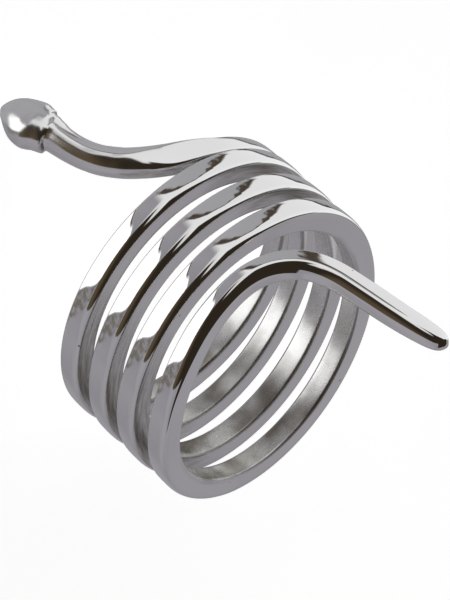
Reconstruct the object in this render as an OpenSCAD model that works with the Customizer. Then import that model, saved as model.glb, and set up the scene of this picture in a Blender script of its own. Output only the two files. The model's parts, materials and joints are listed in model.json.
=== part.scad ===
// Snake ring: a square silver strip wound into a left-handed coil for the finger, with a round neck
// and an egg-shaped head at the far end and a tapered tail at the near end.
// It is modelled round the finger's line and then laid down as it rests by itself on a flat surface:
// on the underside of its head and on the rim of its coil, with the tail upwards.

/* [Finger hole] */
// Distance across the finger hole
finger_d = 16.9; // [16:0.1:18]

/* [Strip] */
// Width of the strip along the finger
strip_w = 1.52; // [1.4:0.02:1.56]
// Thickness of the strip outwards from the finger
strip_t = 1.59; // [1.4:0.01:1.8]
// How much the coil is out of round outside, each way
oval = 0.06; // [0:0.01:0.15]
// Share of each half of the strip's section that its corners round off
edge = 0.08; // [0.05:0.01:0.3]

/* [Coil] */
// Distance between the first two turns
pitch = 2.8; // [2.75:0.01:3]
// How much each turn lies closer to the next one than the turn before
closing = 0.07; // [0:0.01:0.1]
// How far the turns sway along the finger, each way
sway = 1; // [0.6:0.05:1.1]

/* [Head] */
// Width of the head at its widest
head_w = 3.4; // [2.8:0.1:3.8]
// Height of the head at its highest
head_h = 2.4; // [2.1:0.1:2.8]

/* [Tail] */
// Width of the tail where it runs along the finger
tail_w = 1.55; // [1.3:0.05:1.7]

/* [Wear] */
// How much is worn off where the ring touches the surface that it lies on
worn = 0.08; // [0:0.01:0.12]

/* [Hidden] */
$fn = 96;

finger_r = finger_d / 2;

// The coil's first and last turn positions; a whole number is the top of a turn
coil_from = 0.5;
coil_to = 3.5;
// Place along the finger that the coil would have at turn 0
coil_start = -4.89;
// Clock angle of the long way across the coil
oval_clock = 33;
// The strip is worked a little narrower round one place on its way
slim_turn = 1.3;
slim_reach = 0.2;
slim_by = 0.14;
// Degrees between two sections of the coil
coil_step = 5;
// How far sections that touch the finger reach into the hole before it is bored
bore_in = -0.15;

// Sections between two rows of a table
neck_steps = 4;
tail_steps = 3;

// Columns of the tables below: clock angle round the finger seen from the tail, place along the
// finger, how far the inside and the outside stand off the finger, width, and the share of the
// outer and inner halves that is rounded (1 is a full round)
CLOCK = 0;
ALONG = 1;
INSIDE = 2;
OUTSIDE = 3;
WIDTH = 4;
ROUND_OUT = 5;
ROUND_IN = 6;

// The head from the snout backwards: its heights and widths are shares of head_h and head_w
HEAD = [
    // clock, along, inside, outside, width
    [-54.9, -15.85, 0.37, 0.51, 0.10],
    [-54.8, -15.75, 0.24, 0.67, 0.30],
    [-54.5, -15.55, 0.15, 0.77, 0.46],
    [-54.1, -15.25, 0.08, 0.86, 0.62],
    [-53.6, -14.95, 0.05, 0.92, 0.75],
    [-53.0, -14.55, 0.03, 0.96, 0.86],
    [-52.3, -14.05, 0.02, 0.99, 0.95],
    [-51.6, -13.60, 0.02, 1.00, 0.99],
    [-51.0, -13.30, 0.02, 1.00, 1.00],
    [-50.3, -13.05, 0.02, 0.99, 0.98],
    [-49.7, -12.80, 0.02, 0.97, 0.94],
    [-49.1, -12.58, 0.02, 0.94, 0.88],
    [-48.7, -12.44, 0.02, 0.91, 0.81],
    [-48.5, -12.34, 0.02, 0.88, 0.72],
    [-48.35, -12.28, 0.02, 0.86, 0.62]
];

// The neck from the head to the coil
NECK = [
    // clock, along, inside, outside, width, round outside, round inside
    [-48.2, -12.15, 0.05, 2.02, 1.98, 1, 1],
    [-47.5, -11.20, 0.04, 1.96, 1.92, 1, 1],
    [-46.7, -10.35, 0.04, 1.96, 1.95, 1, 1],
    [-45.4, -9.45, 0.03, 1.98, 1.98, 1, 1],
    [-43.3, -8.50, 0.03, 2.00, 2.00, 1, 1],
    [-40.3, -7.70, 0.03, 2.00, 2.00, 1, 1],
    [-36.6, -6.90, 0.03, 1.98, 1.98, 1, 1],
    [-31.0, -6.05, 0.03, 1.88, 1.85, 0.8, 0.9],
    [-24.0, -5.45, 0.02, 1.74, 1.70, 0.5, 0.7],
    [-15.5, -5.00, 0.02, 1.64, 1.55, 0.3, 0.4],
    [-8.0, -4.78, 0.00, 1.59, 1.45, 0.2, 0.25],
    [0.0, -4.65, -0.07, 1.57, 1.35, 0.12, 0.15],
    [15.0, -4.50, bore_in, 1.56, 1.30, edge, edge],
    [35.0, -4.28, bore_in, 1.56, 1.35, edge, edge],
    [60.0, -3.98, bore_in, 1.58, 1.42, edge, edge],
    [90.0, -3.50, bore_in, 1.57, 1.50, edge, edge],
    [120.0, -3.05, bore_in, 1.54, 1.52, edge, edge],
    [150.0, -2.75, bore_in, 1.56, 1.52, edge, edge],
    [180.0, -2.51, bore_in, 1.61, 1.52, edge, edge]
];

// The tail from the coil to its tip: its widths are shares of tail_w
TAIL = [
    // clock, along, inside, outside, width, round outside, round inside
    [-180.0, 5.48, bore_in, 1.61, 0.98, edge, edge],
    [-150.0, 5.62, bore_in, 1.56, 0.98, edge, edge],
    [-126.0, 5.66, bore_in, 1.54, 0.97, edge, edge],
    [-108.0, 5.58, bore_in, 1.54, 0.97, edge, edge],
    [-92.0, 5.38, -0.10, 1.55, 0.95, 0.1, 0.1],
    [-78.0, 5.12, -0.05, 1.55, 0.94, 0.15, 0.15],
    [-65.0, 4.82, 0.01, 1.55, 0.92, 0.2, 0.2],
    [-55.0, 4.66, 0.02, 1.55, 0.90, 0.25, 0.25],
    [-45.0, 4.58, 0.02, 1.55, 0.90, 0.3, 0.3],
    [-37.0, 4.66, 0.02, 1.56, 0.90, 0.3, 0.35],
    [-30.0, 4.92, 0.02, 1.55, 0.92, 0.3, 0.4],
    [-24.0, 5.38, 0.03, 1.55, 0.94, 0.25, 0.5],
    [-18.5, 6.05, 0.05, 1.55, 0.97, 0.22, 0.6],
    [-14.3, 6.95, 0.07, 1.55, 1.00, 0.2, 0.65],
    [-11.6, 8.00, 0.09, 1.55, 1.00, 0.2, 0.7],
    [-10.0, 9.10, 0.10, 1.55, 1.00, 0.2, 0.7],
    [-8.4, 10.30, 0.11, 1.54, 1.00, 0.2, 0.7],
    [-6.9, 11.50, 0.11, 1.53, 0.98, 0.2, 0.7],
    [-5.1, 12.70, 0.12, 1.52, 0.95, 0.22, 0.7],
    [-3.0, 13.80, 0.15, 1.49, 0.92, 0.25, 0.7],
    [-1.0, 14.75, 0.21, 1.45, 0.84, 0.35, 0.7],
    [0.2, 15.30, 0.31, 1.39, 0.70, 0.5, 0.8],
    [0.9, 15.60, 0.47, 1.27, 0.45, 0.7, 0.9],
    [1.2, 15.80, 0.75, 1.00, 0.13, 1, 1]
];

// How the ring lies at rest: the way it leans, how far, and how it is turned on the surface
lean_way = 134.3;
lean = 32.5;
turned = -112;
// From the middle of the ring down to the surface, and sideways to the middle of its footprint
rest_height = 8.44 - worn;
rest_shift = [-0.13, 2.611];
surface_w = 60;

// A point off the finger, at a clock angle and a place along the finger
function off_finger(clock, along, off) =
    let (r = finger_r + off)
    [r * sin(clock), r * cos(clock), along];

// Smooth curve through four rows, at share t of the way from the second to the third
function through(a, b, c, d, t) =
    (2 * b + (c - a) * t + (2 * a - 5 * b + 4 * c - d) * pow(t, 2)
     + (3 * b - a - 3 * c + d) * pow(t, 3)) / 2;

// A table's rows with steps - 1 smooth rows between each two
function smoothed(rows, steps) =
    let (last = len(rows) - 1)
    [for (k = [0 : last * steps])
        let (i = min(floor(k / steps), last - 1))
        through(rows[max(i - 1, 0)], rows[i], rows[i + 1], rows[min(i + 2, last)], k / steps - i)];

// The coil's sections, from the neck to the tail
function coil_along(turn) =
    coil_start + pitch * turn - closing / 2 * pow(turn, 2) - sway * cos(360 * turn);
function coil_off(turn) = strip_t + oval * cos(2 * (360 * turn - oval_clock));
function coil_width(turn) = strip_w - slim_by * exp(-pow((turn - slim_turn) / slim_reach, 2));
function coil_rows() =
    let (steps = (coil_to - coil_from) * 360 / coil_step)
    [for (k = [1 : steps - 1])
        let (turn = coil_from + k * coil_step / 360)
        [360 * turn, coil_along(turn), bore_in, coil_off(turn), coil_width(turn), edge, edge]];

function head_rows() =
    [for (row = HEAD)
        [row[CLOCK], row[ALONG], head_h * row[INSIDE], head_h * row[OUTSIDE], head_w * row[WIDTH], 1, 1]];
function tail_rows() =
    [for (row = smoothed(TAIL, tail_steps))
        [for (column = [CLOCK : ROUND_IN]) column == WIDTH ? tail_w * row[WIDTH] : row[column]]];

// One section's outline: x along the width, y outwards, with each corner rounded by its own share
function outline(width, height, round_out, round_in) =
    [for (corner = [[1, -1], [1, 1], [-1, 1], [-1, -1]], i = [0 : 2])
        let (
            round = corner.y > 0 ? round_out : round_in,
            quarter = atan2(corner.y, corner.x) - 45,
            angle = quarter + 15 + 30 * i
        )
        [
            width / 2 * (corner.x * (1 - round) + round * cos(angle)),
            height / 2 * (corner.y * (1 - round) + round * sin(angle))
        ]];

// A solid through all the rows, each section square to the way the body runs
module body_through(rows) {
    last = len(rows) - 1;
    middles = [for (row = rows) off_finger(row[CLOCK], row[ALONG], (row[INSIDE] + row[OUTSIDE]) / 2)];
    rings = [for (i = [0 : last])
        let (
            row = rows[i],
            way = middles[min(i + 1, last)] - middles[max(i - 1, 0)],
            run = way / norm(way),
            straight_out = [sin(row[CLOCK]), cos(row[CLOCK]), 0],
            sloped = straight_out - run * (run * straight_out),
            out = sloped / norm(sloped),
            across = cross(run, out)
        )
        [for (p = outline(row[WIDTH], row[OUTSIDE] - row[INSIDE], row[ROUND_OUT], row[ROUND_IN]))
            middles[i] + p.x * across + p.y * out]];
    sides = len(rings[0]);
    skin = [for (i = [0 : last - 1], j = [0 : sides - 1])
        let (
            a = i * sides + j,
            b = i * sides + (j + 1) % sides
        )
        each [[a, b, b + sides], [a, b + sides, a + sides]]];
    snout_cap = [for (j = [sides - 1 : -1 : 0]) j];
    tip_cap = [for (j = [0 : sides - 1]) last * sides + j];
    polyhedron([for (ring = rings) each ring], concat(skin, [snout_cap, tip_cap]));
}

// All below the surface that the ring lies on
module below_surface() {
    translate([-surface_w / 2, -surface_w / 2, -surface_w]) cube(surface_w);
}

module snake_band() {
    color("silver")
    difference() {
        translate([rest_shift.x, rest_shift.y, rest_height])
        rotate([0, 0, turned])
        rotate([0, -lean, 0])
        rotate([0, 0, -lean_way])
        difference() {
            body_through(concat(head_rows(), smoothed(NECK, neck_steps), coil_rows(), tail_rows()));
            translate([0, 0, -finger_d]) cylinder(r = finger_r, h = 2 * finger_d);
        }
        below_surface();
    }
}

snake_band();
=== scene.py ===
# Snake ring: a silver bar drawn out to a head and a tail, wound round the finger and polished.
import json
import math

import bpy
from mathutils import Matrix, Vector


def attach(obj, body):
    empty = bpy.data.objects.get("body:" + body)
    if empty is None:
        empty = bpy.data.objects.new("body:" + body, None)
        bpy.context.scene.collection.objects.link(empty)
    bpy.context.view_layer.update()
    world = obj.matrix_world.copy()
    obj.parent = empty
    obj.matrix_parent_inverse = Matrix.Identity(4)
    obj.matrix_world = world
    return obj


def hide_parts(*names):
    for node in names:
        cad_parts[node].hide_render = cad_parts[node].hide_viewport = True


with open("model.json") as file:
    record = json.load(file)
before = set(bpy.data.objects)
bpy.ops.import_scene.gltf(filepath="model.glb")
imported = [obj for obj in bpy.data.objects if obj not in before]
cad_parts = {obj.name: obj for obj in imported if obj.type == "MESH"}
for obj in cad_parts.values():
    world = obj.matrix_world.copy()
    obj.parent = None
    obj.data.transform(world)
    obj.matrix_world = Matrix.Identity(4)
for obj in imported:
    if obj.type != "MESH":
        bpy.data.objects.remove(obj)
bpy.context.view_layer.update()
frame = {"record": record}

MM = 0.001

# The finger hole, as the frame states it, and how the ring is laid down, in degrees
FINGER_HOLE = frame["record"]["mounts"][0]
FINGER_R = FINGER_HOLE["dims"]["r_mm"]
RING_MIDDLE = Vector(FINGER_HOLE["pos_m"])
LEAN_WAY = 134.3
LEAN = 32.5
TURNED = -112
LAID_DOWN = (
    Matrix.Translation(RING_MIDDLE)
    @ Matrix.Rotation(math.radians(TURNED), 4, "Z")
    @ Matrix.Rotation(math.radians(-LEAN), 4, "Y")
    @ Matrix.Rotation(math.radians(-LEAN_WAY), 4, "Z")
    @ Matrix.Scale(MM, 4)
)

# The coil, in millimetres and turns: from turn to turn it goes on along the finger by a pitch that closes
# up slowly, and it sways once a turn
PITCH = 2.8
CLOSING = 0.07
SWAY = 1
COIL_START = -4.89
COIL_FROM = 0.5
COIL_TO = 3.5
COIL_STEP = 7.5
STRIP_W = 1.52
STRIP_T = 1.59
# The outside is a little out of round, thickest at this clock angle and opposite
OVAL = 0.06
OVAL_CLOCK = 33
# One stretch of the strip is slimmer: at which turn, over how much of a turn and by how much
SLIM_TURN = 1.3
SLIM_REACH = 0.2
SLIM_BY = 0.14
# How much of half the strip is rounded at its outer and inner edges
OUTER_EDGE = 0.14
INNER_EDGE = 0.3
# How much of the outer face and of the near side the fall of the face to its near edge takes
FALL_FACE_SHARE = 0.66
FALL_SIDE_SHARE = 0.28
# How much lower the outer face is at its edges than along its middle, as a share of half the thickness
CROWN = 0.045

HEAD_W = 3.4
HEAD_H = 2.4
# How much of half the head's width or height is rounded where the outer face meets the sides
HEAD_CORNER = 0.8
# The head is rolled about its length by so many degrees, less and less between these places along the finger
HEAD_ROLL = -15
ROLL_FULL = -13.0
ROLL_GONE = -8.8
# Where the neck flattens into the strip it is rolled towards its near edge: how much, at which clock angle
# and over how many degrees to each side
NECK_ROLL = 13
NECK_ROLL_CLOCK = -24
NECK_ROLL_REACH = 11
TAIL_W = 1.55

# Columns of the tables: clock angle round the finger, place along it, how far the inside and the
# outside stand off it, width, the shares of the outer and inner halves that are rounded, and the shares
# of the outer face and of the near side that the fall to the near edge takes.
# The head's rows stop at the width. They give its heights and widths as shares of the head's own, and the
# tail's rows give widths as shares of the tail's own.
CLOCK, ALONG, INSIDE, OUTSIDE, WIDTH, ROUND_OUT, ROUND_IN, FALL_FACE, FALL_SIDE = range(9)

HEAD = [
    (-52.2, -15.81, 0.43, 0.46, 0.02),
    (-52.4, -15.79, 0.34, 0.55, 0.12),
    (-52.6, -15.71, 0.24, 0.67, 0.22),
    (-52.6, -15.52, 0.15, 0.77, 0.33),
    (-52.4, -15.25, 0.08, 0.86, 0.47),
    (-52.0, -14.95, 0.05, 0.92, 0.63),
    (-51.5, -14.55, 0.03, 0.97, 0.79),
    (-51.0, -14.05, 0.02, 1.00, 0.91),
    (-50.6, -13.62, 0.02, 1.02, 0.97),
    (-50.2, -13.32, 0.02, 1.02, 0.99),
    (-49.7, -13.05, 0.02, 1.02, 0.96),
    (-49.4, -12.80, 0.02, 1.01, 0.90),
    (-49.1, -12.58, 0.02, 1.00, 0.855),
    (-48.9, -12.42, 0.02, 0.99, 0.82),
    (-48.8, -12.30, 0.02, 0.975, 0.795),
    (-48.7, -12.20, 0.02, 0.96, 0.77),
    (-48.5, -12.13, 0.02, 0.95, 0.735),
]

NECK = [
    (-47.6, -12.07, 0.05, 2.27, 2.26, 1, 1, 1, 1),
    (-47.6, -11.70, 0.04, 2.21, 2.07, 1, 1, 1, 1),
    (-47.4, -11.20, 0.04, 2.16, 1.94, 1, 1, 1, 1),
    (-46.6, -10.35, 0.04, 2.07, 1.88, 1, 1, 1, 1),
    (-45.2, -9.45, 0.03, 1.99, 1.87, 1, 1, 1, 1),
    (-42.9, -8.50, 0.03, 1.94, 1.89, 1, 1, 1, 1),
    (-39.8, -7.70, 0.03, 1.90, 1.94, 1, 1, 1, 1),
    (-36.0, -6.92, 0.05, 1.90, 1.95, 0.9, 1, 0.95, 0.95),
    (-30.6, -6.12, 0.08, 1.86, 1.88, 0.6, 0.9, 0.6, 0.6),
    (-24.0, -5.53, 0.10, 1.73, 1.80, 0.35, 0.7, 0.3, 0.3),
    (-15.5, -5.10, 0.07, 1.61, 1.70, 0.25, 0.4, 0.25, 0.25),
    (-8.0, -4.85, 0.02, 1.53, 1.56, 0.18, 0.35, 0.3, 0.22),
    (0.0, -4.65, 0.00, 1.51, 1.35, 0.15, 0.3, 0.4, 0.22),
    (15.0, -4.50, 0.00, 1.52, 1.30, 0.14, 0.3, 0.66, 0.28),
    (35.0, -4.28, 0.00, 1.55, 1.35, 0.14, 0.3, 0.66, 0.28),
    (60.0, -3.98, 0.00, 1.58, 1.42, 0.14, 0.3, 0.66, 0.28),
    (90.0, -3.50, 0.00, 1.57, 1.50, 0.14, 0.3, 0.66, 0.28),
    (120.0, -3.05, 0.00, 1.54, 1.52, 0.14, 0.3, 0.66, 0.28),
    (150.0, -2.75, 0.00, 1.56, 1.52, 0.14, 0.3, 0.66, 0.28),
]

TAIL = [
    (-180.0, 5.48, 0.00, 1.61, 0.98, 0.14, 0.3, 0.66, 0.28),
    (-150.0, 5.62, 0.00, 1.56, 0.98, 0.14, 0.3, 0.66, 0.28),
    (-126.0, 5.66, 0.00, 1.54, 0.97, 0.14, 0.3, 0.66, 0.30),
    (-108.0, 5.58, 0.00, 1.54, 0.97, 0.14, 0.3, 0.66, 0.36),
    (-92.0, 5.38, 0.00, 1.55, 0.95, 0.14, 0.3, 0.68, 0.45),
    (-78.0, 5.12, 0.00, 1.55, 0.94, 0.15, 0.3, 0.72, 0.56),
    (-65.0, 4.82, 0.01, 1.55, 0.92, 0.2, 0.3, 0.78, 0.68),
    (-55.0, 4.66, 0.02, 1.55, 0.90, 0.25, 0.3, 0.85, 0.80),
    (-45.0, 4.58, 0.02, 1.55, 0.90, 0.3, 0.3, 0.90, 0.90),
    (-37.0, 4.66, 0.02, 1.56, 0.90, 0.3, 0.35, 0.92, 0.94),
    (-30.0, 4.92, 0.02, 1.55, 0.92, 0.3, 0.4, 0.92, 0.95),
    (-24.0, 5.38, 0.03, 1.55, 0.94, 0.25, 0.5, 0.90, 0.95),
    (-18.5, 6.05, 0.05, 1.55, 0.97, 0.22, 0.6, 0.86, 0.94),
    (-14.3, 6.95, 0.07, 1.55, 1.00, 0.2, 0.65, 0.84, 0.90),
    (-11.6, 8.00, 0.09, 1.55, 1.00, 0.2, 0.7, 0.84, 0.88),
    (-10.0, 9.10, 0.10, 1.55, 1.00, 0.2, 0.7, 0.84, 0.88),
    (-8.4, 10.30, 0.11, 1.54, 1.00, 0.2, 0.7, 0.84, 0.88),
    (-6.9, 11.50, 0.11, 1.53, 0.98, 0.2, 0.7, 0.84, 0.88),
    (-5.1, 12.70, 0.12, 1.52, 0.95, 0.22, 0.7, 0.84, 0.88),
    (-3.0, 13.80, 0.15, 1.49, 0.92, 0.25, 0.7, 0.85, 0.88),
    (-1.0, 14.75, 0.21, 1.45, 0.84, 0.35, 0.7, 0.88, 0.90),
    (0.2, 15.30, 0.31, 1.39, 0.70, 0.5, 0.8, 0.90, 0.92),
    (0.9, 15.60, 0.47, 1.27, 0.45, 0.7, 0.9, 0.95, 1.00),
    (1.2, 15.80, 0.75, 1.00, 0.13, 1, 1, 1.00, 1.00),
]

# The points round a quarter of the bar: on the flat before its corner, round the corner and on the flat
# after it
POINTS_BEFORE = 2
CORNER_POINTS = 11
POINTS_AFTER = 1
QUARTER_POINTS = POINTS_BEFORE + CORNER_POINTS + POINTS_AFTER
BAR_POINTS = 4 * QUARTER_POINTS
# The step between the bar's rings of points, which stand closer together towards both ends by this share
RING_STEP = 0.32
CROWDING = 0.6
# Half the stretch of the route that gives a section its direction
NUDGE = 0.4
# A corner is rounded at least and at most by these shares
LEAST_ROUND = 0.02
MOST_ROUND = 0.95
# The places that the ring rests on are worn flat, down to the floor
FLOOR_Z = 0.0
# Points as near as this to the floor, in metres, count as on it
ON_FLOOR = 1e-6
# Edges that turn by less than this many degrees are shaded smooth
SMOOTH_BELOW = 50


def coil_row(turn):
    """The strip's section at a turn of the coil; a whole number is the top of a turn."""
    swayed = SWAY * math.cos(2 * math.pi * turn)
    slimmer = SLIM_BY * math.exp(-((turn - SLIM_TURN) / SLIM_REACH) ** 2)
    round_way = math.radians(2 * (360 * turn - OVAL_CLOCK))
    return (
        360 * turn,
        COIL_START + PITCH * turn - CLOSING / 2 * turn ** 2 - swayed,
        0.0,
        STRIP_T + OVAL * math.cos(round_way),
        STRIP_W - slimmer,
        OUTER_EDGE,
        INNER_EDGE,
        FALL_FACE_SHARE,
        FALL_SIDE_SHARE,
    )


def route_rows():
    """All sections from the snout to the tail's tip, with clock angles that grow on from turn to turn."""
    head_edges = (HEAD_CORNER, 1, HEAD_CORNER, 1)
    head = [
        (r[CLOCK], r[ALONG], HEAD_H * r[INSIDE], HEAD_H * r[OUTSIDE], HEAD_W * r[WIDTH], *head_edges)
        for r in HEAD
    ]
    steps = round((COIL_TO - COIL_FROM) * 360 / COIL_STEP)
    coil = [coil_row(COIL_FROM + k * COIL_STEP / 360) for k in range(steps)]
    wound_before = 360 * round(COIL_TO + 0.5)
    tail = [(r[CLOCK] + wound_before, *r[ALONG:WIDTH], TAIL_W * r[WIDTH], *r[ROUND_OUT:]) for r in TAIL]
    return head + NECK + coil + tail


def off_finger(clock, along, off):
    """A point in the ring's own millimetres, round the finger's line."""
    angle = math.radians(clock)
    reach = FINGER_R + off
    return Vector((reach * math.sin(angle), reach * math.cos(angle), along))


def through(a, b, c, d, t):
    """Smooth curve through four rows, at share t of the way from the second to the third."""
    return tuple(
        (2 * q + (r - p) * t + (2 * p - 5 * q + 4 * r - s) * t ** 2 + (3 * q - p - 3 * r + s) * t ** 3) / 2
        for p, q, r, s in zip(a, b, c, d)
    )


class Route:
    """The way the bar is wound: its section at any place along it, in millimetres from the snout."""

    def __init__(self, rows):
        self.rows = rows
        self.last = len(rows) - 1
        middles = [off_finger(r[CLOCK], r[ALONG], (r[INSIDE] + r[OUTSIDE]) / 2) for r in rows]
        self.reached = [0.0]
        for before, here in zip(middles, middles[1:]):
            self.reached.append(self.reached[-1] + (here - before).length)
        self.length = self.reached[-1]

    def row(self, at):
        at = min(max(at, 0.0), self.length)
        low, high = 0, self.last
        while high - low > 1:
            middle = (low + high) // 2
            if self.reached[middle] <= at:
                low = middle
            else:
                high = middle
        rows = self.rows
        t = (at - self.reached[low]) / (self.reached[high] - self.reached[low])
        return through(rows[max(low - 1, 0)], rows[low], rows[high], rows[min(high + 1, self.last)], t)

    def section(self, at):
        """Middle, sideways and outward directions, and the row at a place."""
        row = self.row(at)
        ends = []
        for near in (at - NUDGE, at + NUDGE):
            r = self.row(near)
            ends.append(off_finger(r[CLOCK], r[ALONG], (r[INSIDE] + r[OUTSIDE]) / 2))
        run = (ends[1] - ends[0]).normalized()
        middle = off_finger(row[CLOCK], row[ALONG], (row[INSIDE] + row[OUTSIDE]) / 2)
        straight_out = off_finger(row[CLOCK], 0, 1 - FINGER_R)
        out = (straight_out - run * run.dot(straight_out)).normalized()
        rolled = min(max((row[ALONG] - ROLL_GONE) / (ROLL_FULL - ROLL_GONE), 0), 1) * HEAD_ROLL
        rolled += NECK_ROLL * math.exp(-((row[CLOCK] - NECK_ROLL_CLOCK) / NECK_ROLL_REACH) ** 2)
        out = Matrix.Rotation(math.radians(rolled), 3, run) @ out
        return middle, run.cross(out), out, row


def section_point(step, row):
    """A point round a section, as shares of its half width and half height.

    Each quarter runs from the middle of one side, round a corner, to the middle of the next.
    """
    quarter, place = divmod(step, QUARTER_POINTS)
    corners = (
        (row[FALL_SIDE], row[FALL_FACE]),
        (row[ROUND_OUT], row[ROUND_OUT]),
        (row[ROUND_IN], row[ROUND_IN]),
        (row[ROUND_IN], row[ROUND_IN]),
    )
    first, second = (min(max(share, LEAST_ROUND), MOST_ROUND) for share in corners[quarter])
    if place < POINTS_BEFORE:
        a, b = 1, (1 - first) * place / POINTS_BEFORE
    elif place >= POINTS_BEFORE + CORNER_POINTS:
        a, b = (1 - second) / (POINTS_AFTER + 1), 1
    else:
        turn = math.radians(90 * (place - POINTS_BEFORE) / (CORNER_POINTS - 1))
        a = 1 - second + second * math.cos(turn)
        b = 1 - first + first * math.sin(turn)
    facing = math.radians(90 * quarter)
    x = a * math.cos(facing) - b * math.sin(facing)
    y = a * math.sin(facing) + b * math.cos(facing)
    if y > 0:
        y *= 1 - CROWN * x ** 2
    return x, y


def select_nothing():
    bpy.ops.object.select_all(action="DESELECT")


def cut_across(bar, cuts, longer_than):
    """Cuts the bar across, between the ends of every edge that runs along it further than this."""
    bpy.ops.object.mode_set(mode="EDIT")
    bpy.ops.mesh.select_mode(type="EDGE")
    bpy.ops.mesh.select_all(action="DESELECT")
    bpy.ops.object.mode_set(mode="OBJECT")
    vertices = bar.data.vertices
    for edge in bar.data.edges:
        first, second = (vertices[v].co.z for v in edge.vertices)
        edge.select = abs(first - second) > longer_than
    bpy.ops.object.mode_set(mode="EDIT")
    bpy.ops.mesh.subdivide(number_cuts=cuts)
    bpy.ops.object.mode_set(mode="OBJECT")


def straight_bar(name, rings):
    """A round bar one unit long, cut across into parts, and each part into as many again."""
    select_nothing()
    bpy.ops.mesh.primitive_cylinder_add(vertices=BAR_POINTS, radius=1, depth=1, end_fill_type="NGON")
    bar = bpy.context.active_object
    bar.name = name
    parts = round(math.sqrt(rings))
    cut_across(bar, parts - 1, 0.5)
    cut_across(bar, parts - 1, 0.5 / parts)
    return bar


def snake():
    """The whole ring: the bar, forged to its sections and wound round the finger."""
    route = Route(route_rows())
    rings = round(route.length / RING_STEP)
    bar = straight_bar("snake_ring", rings)
    sections = {}
    wound = []
    behind_head = []
    neck_start = route.reached[len(HEAD)]
    for vertex in bar.data.vertices:
        share = round(vertex.co.z + 0.5, 6)
        if share not in sections:
            crowded = share - CROWDING * math.sin(2 * math.pi * share) / (2 * math.pi)
            reach = crowded * route.length
            sections[share] = (*route.section(reach), reach - neck_start)
        middle, across, out, row, behind = sections[share]
        step = round(math.atan2(vertex.co.y, vertex.co.x) / (2 * math.pi) * BAR_POINTS) % BAR_POINTS
        x, y = section_point(step, row)
        wound.append((row[CLOCK] / 360, x, y))
        behind_head.append(behind)
        at = middle + across * (x * row[WIDTH] / 2) + out * (y * (row[OUTSIDE] - row[INSIDE]) / 2)
        vertex.co = LAID_DOWN @ at
    marks = bar.data.attributes.new("wound", "FLOAT_VECTOR", "POINT")
    for mark, turn_x_y in zip(marks.data, wound):
        mark.vector = turn_x_y
    marks = bar.data.attributes.new("behind_head", "FLOAT", "POINT")
    marks.data.foreach_set("value", behind_head)
    bpy.ops.object.mode_set(mode="EDIT")
    bpy.ops.mesh.select_all(action="SELECT")
    bpy.ops.mesh.bisect(
        plane_co=(0, 0, FLOOR_Z), plane_no=(0, 0, 1), use_fill=True, clear_inner=True, threshold=ON_FLOOR
    )
    bpy.ops.mesh.select_all(action="SELECT")
    bpy.ops.mesh.normals_make_consistent(inside=False)
    bpy.ops.object.mode_set(mode="OBJECT")
    bpy.ops.object.shade_smooth_by_angle(angle=math.radians(SMOOTH_BELOW))
    return bar


class Socket:
    """A value that a node gives out, which Python's operators can do sums with."""

    def __init__(self, sheet, socket):
        self.sheet = sheet
        self.socket = socket

    def math(self, operation, *others):
        return self.sheet.node("ShaderNodeMath", {"operation": operation}, [self, *others])

    def __add__(self, other):
        return self.math("ADD", other)

    def __radd__(self, other):
        return self.math("ADD", other)

    def __sub__(self, other):
        return self.math("SUBTRACT", other)

    def __rsub__(self, other):
        return self.sheet.node("ShaderNodeMath", {"operation": "SUBTRACT"}, [other, self])

    def __mul__(self, other):
        return self.math("MULTIPLY", other)

    def __rmul__(self, other):
        return self.math("MULTIPLY", other)


class Sheet:
    """The nodes of one material, or of the world."""

    def __init__(self, tree):
        self.tree = tree

    def node(self, kind, settings=None, inputs=(), output=0):
        """Adds a node: its settings first, then its sockets' values or links, by place or by name."""
        made = self.tree.nodes.new(kind)
        for name, value in (settings or {}).items():
            setattr(made, name, value)
        named = inputs.items() if isinstance(inputs, dict) else enumerate(inputs)
        for key, value in named:
            if isinstance(value, Socket):
                self.tree.links.new(value.socket, made.inputs[key])
            else:
                made.inputs[key].default_value = value
        return Socket(self, made.outputs[output])

    def feed(self, shader, name, value):
        """Links a value to one of a shader's sockets."""
        self.tree.links.new(value.socket, shader.inputs[name])

    def attribute(self, name, output):
        return self.node("ShaderNodeAttribute", {"attribute_name": name}, output=output)

    def dot(self, first, second):
        """How far one vector goes along another."""
        return self.node("ShaderNodeVectorMath", {"operation": "DOT_PRODUCT"}, (first, second), "Value")

    def step(self, value, low, high):
        """0 below low, 1 above high and smooth between."""
        settings = {"interpolation_type": "SMOOTHSTEP"}
        return self.node("ShaderNodeMapRange", settings, {"Value": value, "From Min": low, "From Max": high})

    def noise(self, where, scale, detail=2.0, roughness=0.5):
        """Even noise about 0.5, from 0 to 1."""
        return self.node("ShaderNodeTexNoise", {}, {
            "Vector": where, "Scale": scale, "Detail": detail, "Roughness": roughness,
        })

    def mix(self, share, first, second):
        """Two colours mixed by a share. The node's colour sockets are known by their places only."""
        return self.node("ShaderNodeMix", {"data_type": "RGBA"}, {0: share, 6: first, 7: second}, output=2)


def grey(level, warm=0.0):
    """A near-grey colour, a little warmer or, below 0, cooler."""
    return (level * (1 + warm), level * (1 + warm / 4), level * (1 - warm), 1)


# The silver; its tarnish, which between the turns also stands for painted shade; and the painted shade, with
# some tarnish, in the crease behind the head
SILVER = grey(0.95, 0.01)
TARNISH_AND_SHADE = (0.30, 0.275, 0.235, 1)
CREASE_SHADE_AND_TARNISH = (0.10, 0.09, 0.075, 1)
PIT_DIRT_SHARE = 0.8
CREASE_SHADE_AND_TARNISH_SHARE = 0.75

# Places on each turn of the coil, as shares of a turn from its top
TOP = 0.02
LOW = 0.47
LOW_LEFT = 0.63

# How fine the patterns in the metal are, per metre, and how far they stand up or are sunk, in millimetres
WAVES = 260
WAVE_HEIGHT = 0.006
GRAIN = 900
GRAIN_HEIGHT = 0.006
LUMPS = 420
LUMP_HEIGHT = 0.022
PITS = 650
PIT_DEPTH = 0.02
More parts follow.
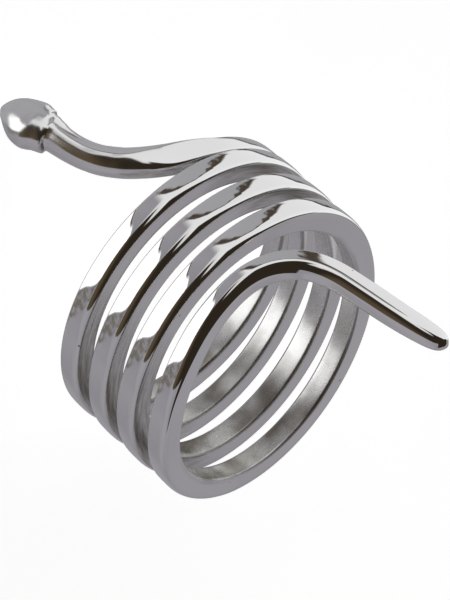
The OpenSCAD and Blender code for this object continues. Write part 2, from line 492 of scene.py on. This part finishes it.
# The streaks' fineness along a turn, across the strip and through it
STREAKS = (24, 1, 5)
STREAK_HEIGHT = 0.010

# Roughness of the mirror polish, and how much rougher or, below 0, smoother each part is made after that
POLISH = 0.045
HEAD_AND_NECK = 0.09
HEAD_ALONE = 0.05
INNER_EDGES = 0.36
INSIDE_FACE = -0.22
INSIDE_GRAIN = 0.16
BETWEEN_TURNS = 0.24


def polished_silver():
    """Silver: mirror polished outside, satin as cast inside, and tarnished between the turns, where painted
    shade darkens it too, as it does in the crease behind the head.
    """
    material = bpy.data.materials.new("polished_silver")
    material.use_nodes = True
    sheet = Sheet(material.node_tree)
    where = sheet.node("ShaderNodeTexCoord", output="Object")
    wound = sheet.attribute("wound", "Vector")
    turn = sheet.dot(wound, (1, 0, 0))
    across = sheet.dot(wound, (0, 1, 0))
    out = sheet.dot(wound, (0, 0, 1))
    behind_head = sheet.attribute("behind_head", "Fac")

    def on_each_turn(place, low, high):
        """1 about one place on every turn."""
        return sheet.step((2 * math.pi * (turn - place)).math("COSINE"), low, high)

    inside = 1 - sheet.step(out, -0.99, -0.92)
    # Sides that face another turn: rougher, streaked and darkened, most at the lower left and at the top,
    # where the darker colour is painted shade between the turns together with tarnish.
    # The near side is free from the third turn on, and the far side as far as the first.
    near_side = sheet.step(across, 0.90, 0.99) * (1 - sheet.step(turn, 2.90, 3.0))
    far_side = sheet.step(0 - across, 0.93, 0.99) * sheet.step(turn, 0.70, 0.80)
    dull_and_shaded_by_clock = 0.15 + 0.85 * on_each_turn(LOW_LEFT, 0.45, 0.85) + 0.7 * on_each_turn(TOP, 0.84, 0.97)
    between = (near_side + far_side) * dull_and_shaded_by_clock * (1 - inside)
    low_inside = inside * on_each_turn(LOW, 0.55, 0.90)
    inner_edges = 1 - sheet.step(out, -0.85, -0.45)
    # The head and the neck, told by the distance behind the head's rear edge in millimetres
    head_and_neck = 1 - sheet.step(behind_head, 10.0, 16.0)
    head = 1 - sheet.step(behind_head, -1.0, 3.0)
    both_sides = sheet.step(across.math("ABSOLUTE"), 0.86, 0.99)
    # The crease behind the head, where shade is painted
    crease = (1 - sheet.step(behind_head.math("ABSOLUTE"), 0.03, 0.16)) * both_sides

    waves = sheet.noise(where, WAVES, detail=1.5)
    grain = sheet.noise(where, GRAIN, detail=4.0, roughness=0.65)
    lumps = sheet.noise(where, LUMPS)
    streaks_at = sheet.node("ShaderNodeVectorMath", {"operation": "MULTIPLY"}, (wound, STREAKS))
    streaks = sheet.noise(streaks_at, 1.0, detail=4.0, roughness=0.7)
    to_next_pit = sheet.node("ShaderNodeTexVoronoi", {}, {"Vector": where, "Scale": PITS})
    pits = (1 - sheet.step(to_next_pit, 0.03, 0.06)) * sheet.step(grain, 0.52, 0.56)

    # Painted shade between the turns, mixed with tarnish and streaked along each turn
    side_tarnish_and_shade = between * (0.08 + 0.75 * sheet.step(streaks, 0.30, 0.75))
    inside_tarnish = low_inside * (0.30 + 0.5 * sheet.step(lumps, 0.35, 0.65))
    edge_tarnish = inner_edges * sheet.step(lumps, 0.50, 0.75) * 0.25
    # All the tarnish, with the painted shade between the turns in it
    tarnish_and_shade = (side_tarnish_and_shade + inside_tarnish + edge_tarnish).math("MINIMUM", 1)
    colour = sheet.mix(tarnish_and_shade, SILVER, TARNISH_AND_SHADE)
    colour = sheet.mix(pits * PIT_DIRT_SHARE, colour, TARNISH_AND_SHADE)
    # Painted shade in the crease behind the head, with some tarnish
    colour = sheet.mix(crease * CREASE_SHADE_AND_TARNISH_SHARE, colour, CREASE_SHADE_AND_TARNISH)

    roughness = (
        POLISH
        + head_and_neck * HEAD_AND_NECK
        + head * HEAD_ALONE
        + inner_edges * INNER_EDGES
        + inside * (INSIDE_FACE + grain * INSIDE_GRAIN)
        + between * BETWEEN_TURNS
    )
    height = (
        waves * WAVE_HEIGHT
        + inside * (lumps * LUMP_HEIGHT + grain * GRAIN_HEIGHT)
        + between * streaks * STREAK_HEIGHT
        - pits * PIT_DEPTH
    )
    bump = sheet.node("ShaderNodeBump", {}, {"Strength": 1.0, "Distance": MM, "Height": height})
    shader = material.node_tree.nodes["Principled BSDF"]
    shader.inputs["Metallic"].default_value = 1
    sheet.feed(shader, "Base Color", colour)
    sheet.feed(shader, "Roughness", roughness)
    sheet.feed(shader, "Normal", bump)
    return material


ring = snake()
ring.data.materials.append(polished_silver())
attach(ring, "root")
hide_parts("snake_band")

# The camera stands where the photo's stood, given in the ring's own millimetres before it is laid down
CAMERA_AT = Vector((-221.53, 147.69, 138.25))
CAMERA_RIGHT = Vector((0.6549, 0.3682, 0.66))
CAMERA_DOWN = Vector((-0.1532, -0.7905, 0.593))
LENS = 286.5
SENSOR_W = 36
CLIP_START = 0.01


def stand_camera():
    """The camera, and its right, up and back directions in the frame."""
    data = bpy.data.cameras.new("camera")
    data.lens = LENS
    data.sensor_width = SENSOR_W
    data.clip_start = CLIP_START
    camera = bpy.data.objects.new("camera", data)
    bpy.context.scene.collection.objects.link(camera)
    turned = LAID_DOWN.to_3x3().normalized()
    right = (turned @ CAMERA_RIGHT).normalized()
    down = (turned @ CAMERA_DOWN).normalized()
    back = right.cross(-down).normalized()
    up = back.cross(right)
    held = Matrix((right, up, back)).transposed().to_4x4()
    camera.matrix_world = Matrix.Translation(LAID_DOWN @ CAMERA_AT) @ held
    bpy.context.scene.camera = camera
    return right, up, back


PHOTO_RIGHT, PHOTO_UP, PHOTO_BACK = stand_camera()

# The colours in the light tent
DIM_CLOTH = (0.262, 0.255, 0.278, 1)
PALE_CLOTH = (0.322, 0.314, 0.338, 1)
PANEL_CLOTH = grey(0.48, -0.03)
PANEL_SHARE = 0.35
WINDOW = grey(1.2, -0.005)
LIT_LOW = grey(0.92, -0.015)
LIT_HIGH = grey(0.76, -0.01)
LAMP = grey(0.66, 0.005)
SEAM = (0.062, 0.048, 0.035, 1)
GAP_BLACK = (0.024, 0.018, 0.012, 1)
GAP_BROWN = (0.085, 0.062, 0.038, 1)
BLOTCHED = (0.13, 0.112, 0.088, 1)
BLOTCHED_SHARE = 0.8


def studio():
    """The light tent round the ring: grey cloth, white windows and the dark gap that it is seen through."""
    world = bpy.data.worlds.new("studio")
    bpy.context.scene.world = world
    world.use_nodes = True
    sheet = Sheet(world.node_tree)
    way = sheet.node("ShaderNodeTexCoord", output="Generated")

    def toward(right, up, back):
        """How far a direction goes towards another, given as the camera's right, up and back."""
        return sheet.dot(way, tuple(PHOTO_RIGHT * right + PHOTO_UP * up + PHOTO_BACK * back))

    def uneven(scale, detail, roughness, most):
        """Noise about 0 that makes an edge uneven."""
        return (sheet.noise(way, scale, detail, roughness) - 0.5) * most

    x = toward(1, 0, 0)
    y = toward(0, 1, 0)
    z = toward(0, 0, 1)
    folds = sheet.noise(way, 1.6)
    cloth = sheet.mix(sheet.step(folds, 0.3, 0.7), DIM_CLOTH, PALE_CLOTH)
    ragged = uneven(5.0, 4.0, 0.6, 0.09)
    wavy = uneven(3.0, 1.0, 0.5, 0.16)
    smeared = uneven(14.0, 3.0, 0.6, 0.16)

    # The upper right is lit, from a little above the camera's level
    above_level = sheet.step(toward(-0.27, 1, 0), 0.0, 0.05)
    lit = sheet.step(toward(1, 0.51, -0.31), 0.0, 0.14) * above_level
    lit_colour = sheet.mix(sheet.step(y, 0.2, 0.9), LIT_LOW, LIT_HIGH)
    # A grey panel hangs overhead, with brown seams at its side, in front and at the back
    panel_side = x + ragged - 0.27 + sheet.step(0 - z, 0.66, 0.82) * -0.08
    panel_front = toward(0, -0.39, 1) + ragged
    overhead = sheet.step(y, 0.02, 0.10)
    panel = (1 - sheet.step(panel_side, -0.01, 0.01)) * (1 - sheet.step(panel_front, -0.01, 0.01)) * overhead
    panel_core = (
        (1 - sheet.step(panel_side + smeared, -0.08, -0.04))
        * (1 - sheet.step(panel_front + smeared, -0.09, -0.04))
    )
    seam_share = sheet.step(z, -0.50, -0.42) + sheet.step(0 - z, 0.60, 0.68)
    # Left, a window stands above the middle and runs on behind
    left_foot = sheet.step(0 - z, -0.1, 0.4) * 0.18
    left_front = toward(2.39, 1, 1.34) + ragged
    left = sheet.step(y - left_foot, 0.0, 0.02) * (1 - sheet.step(left_front, -0.02, 0.02))
    left_seam = left * sheet.step(left_front, -0.10, -0.06) * (1 - sheet.step(z, 0.50, 0.56))
    behind = sheet.step(0 - x, 0.15, 0.3) * sheet.step(0 - z, 0.3, 0.45) * sheet.step(y, 0.04, 0.10)
    # Above the camera a lamp lights the cloth
    lamp = sheet.step(toward(1, -0.15, 0.82), -0.01, 0.06) * above_level * sheet.step(z, 0.26, 0.40)
    # The gap that the camera looks through, to its left and its right
    beside_lamp = sheet.step(toward(1, 0.25, 0), -0.02, 0.04) * sheet.step(y, 0.30, 0.45)
    gap_left = (
        (1 - sheet.step(toward(-1, 1, -1.63) + wavy, -0.14, -0.10))
        * sheet.step(toward(0, 1, 1.12) + wavy, 0.09, 0.13)
        * (1 - beside_lamp)
    )
    gap_right = (
        sheet.step(x, 0.06, 0.14)
        * sheet.step(toward(0, -0.75, 1), 0.15, 0.22)
        * sheet.step(z, 0.05, 0.15)
    )
    gap = (gap_left + gap_right).math("MINIMUM", 1)
    gap_colour = sheet.mix(sheet.step(0 - x, 0.30, 0.75), GAP_BLACK, GAP_BROWN)
    # The cloth is blotched with brown low at the left
    blotches = sheet.step(sheet.noise(way, 16.0, detail=3.0), 0.35, 0.6)
    low_left = (
        sheet.step(0 - x, 0.84, 0.90)
        * sheet.step(y + ragged, -0.24, -0.20)
        * (1 - sheet.step(y, -0.02, 0.01))
        * blotches
    )

    colour = sheet.mix(lamp, cloth, LAMP)
    colour = sheet.mix(lit, colour, lit_colour)
    colour = sheet.mix(left, colour, WINDOW)
    colour = sheet.mix(behind, colour, WINDOW)
    colour = sheet.mix(left_seam, colour, SEAM)
    colour = sheet.mix(panel * seam_share * lit, colour, SEAM)
    colour = sheet.mix(panel * panel_core, colour, sheet.mix(PANEL_SHARE, cloth, PANEL_CLOTH))
    colour = sheet.mix(low_left * BLOTCHED_SHARE, colour, BLOTCHED)
    colour = sheet.mix(gap, colour, gap_colour)
    sheet.feed(world.node_tree.nodes["Background"], "Color", colour)


studio()

FLOOR_W = 2
FLOOR_WHITE = grey(0.9)
FLOOR_ROUGHNESS = 0.9
FLOOR_GLOW = 0.86


def pale_floor():
    """A white sweep under the ring, which its polish doesn't pick up."""
    select_nothing()
    bpy.ops.mesh.primitive_plane_add(size=FLOOR_W)
    floor = bpy.context.active_object
    floor.name = "floor"
    floor.visible_glossy = False
    material = bpy.data.materials.new("white_sweep")
    material.use_nodes = True
    shader = material.node_tree.nodes["Principled BSDF"]
    shader.inputs["Base Color"].default_value = FLOOR_WHITE
    shader.inputs["Roughness"].default_value = FLOOR_ROUGHNESS
    shader.inputs["Specular IOR Level"].default_value = 0
    shader.inputs["Emission Color"].default_value = grey(1.0)
    shader.inputs["Emission Strength"].default_value = FLOOR_GLOW
    floor.data.materials.append(material)


pale_floor()
bpy.context.scene.view_settings.view_transform = "Standard"
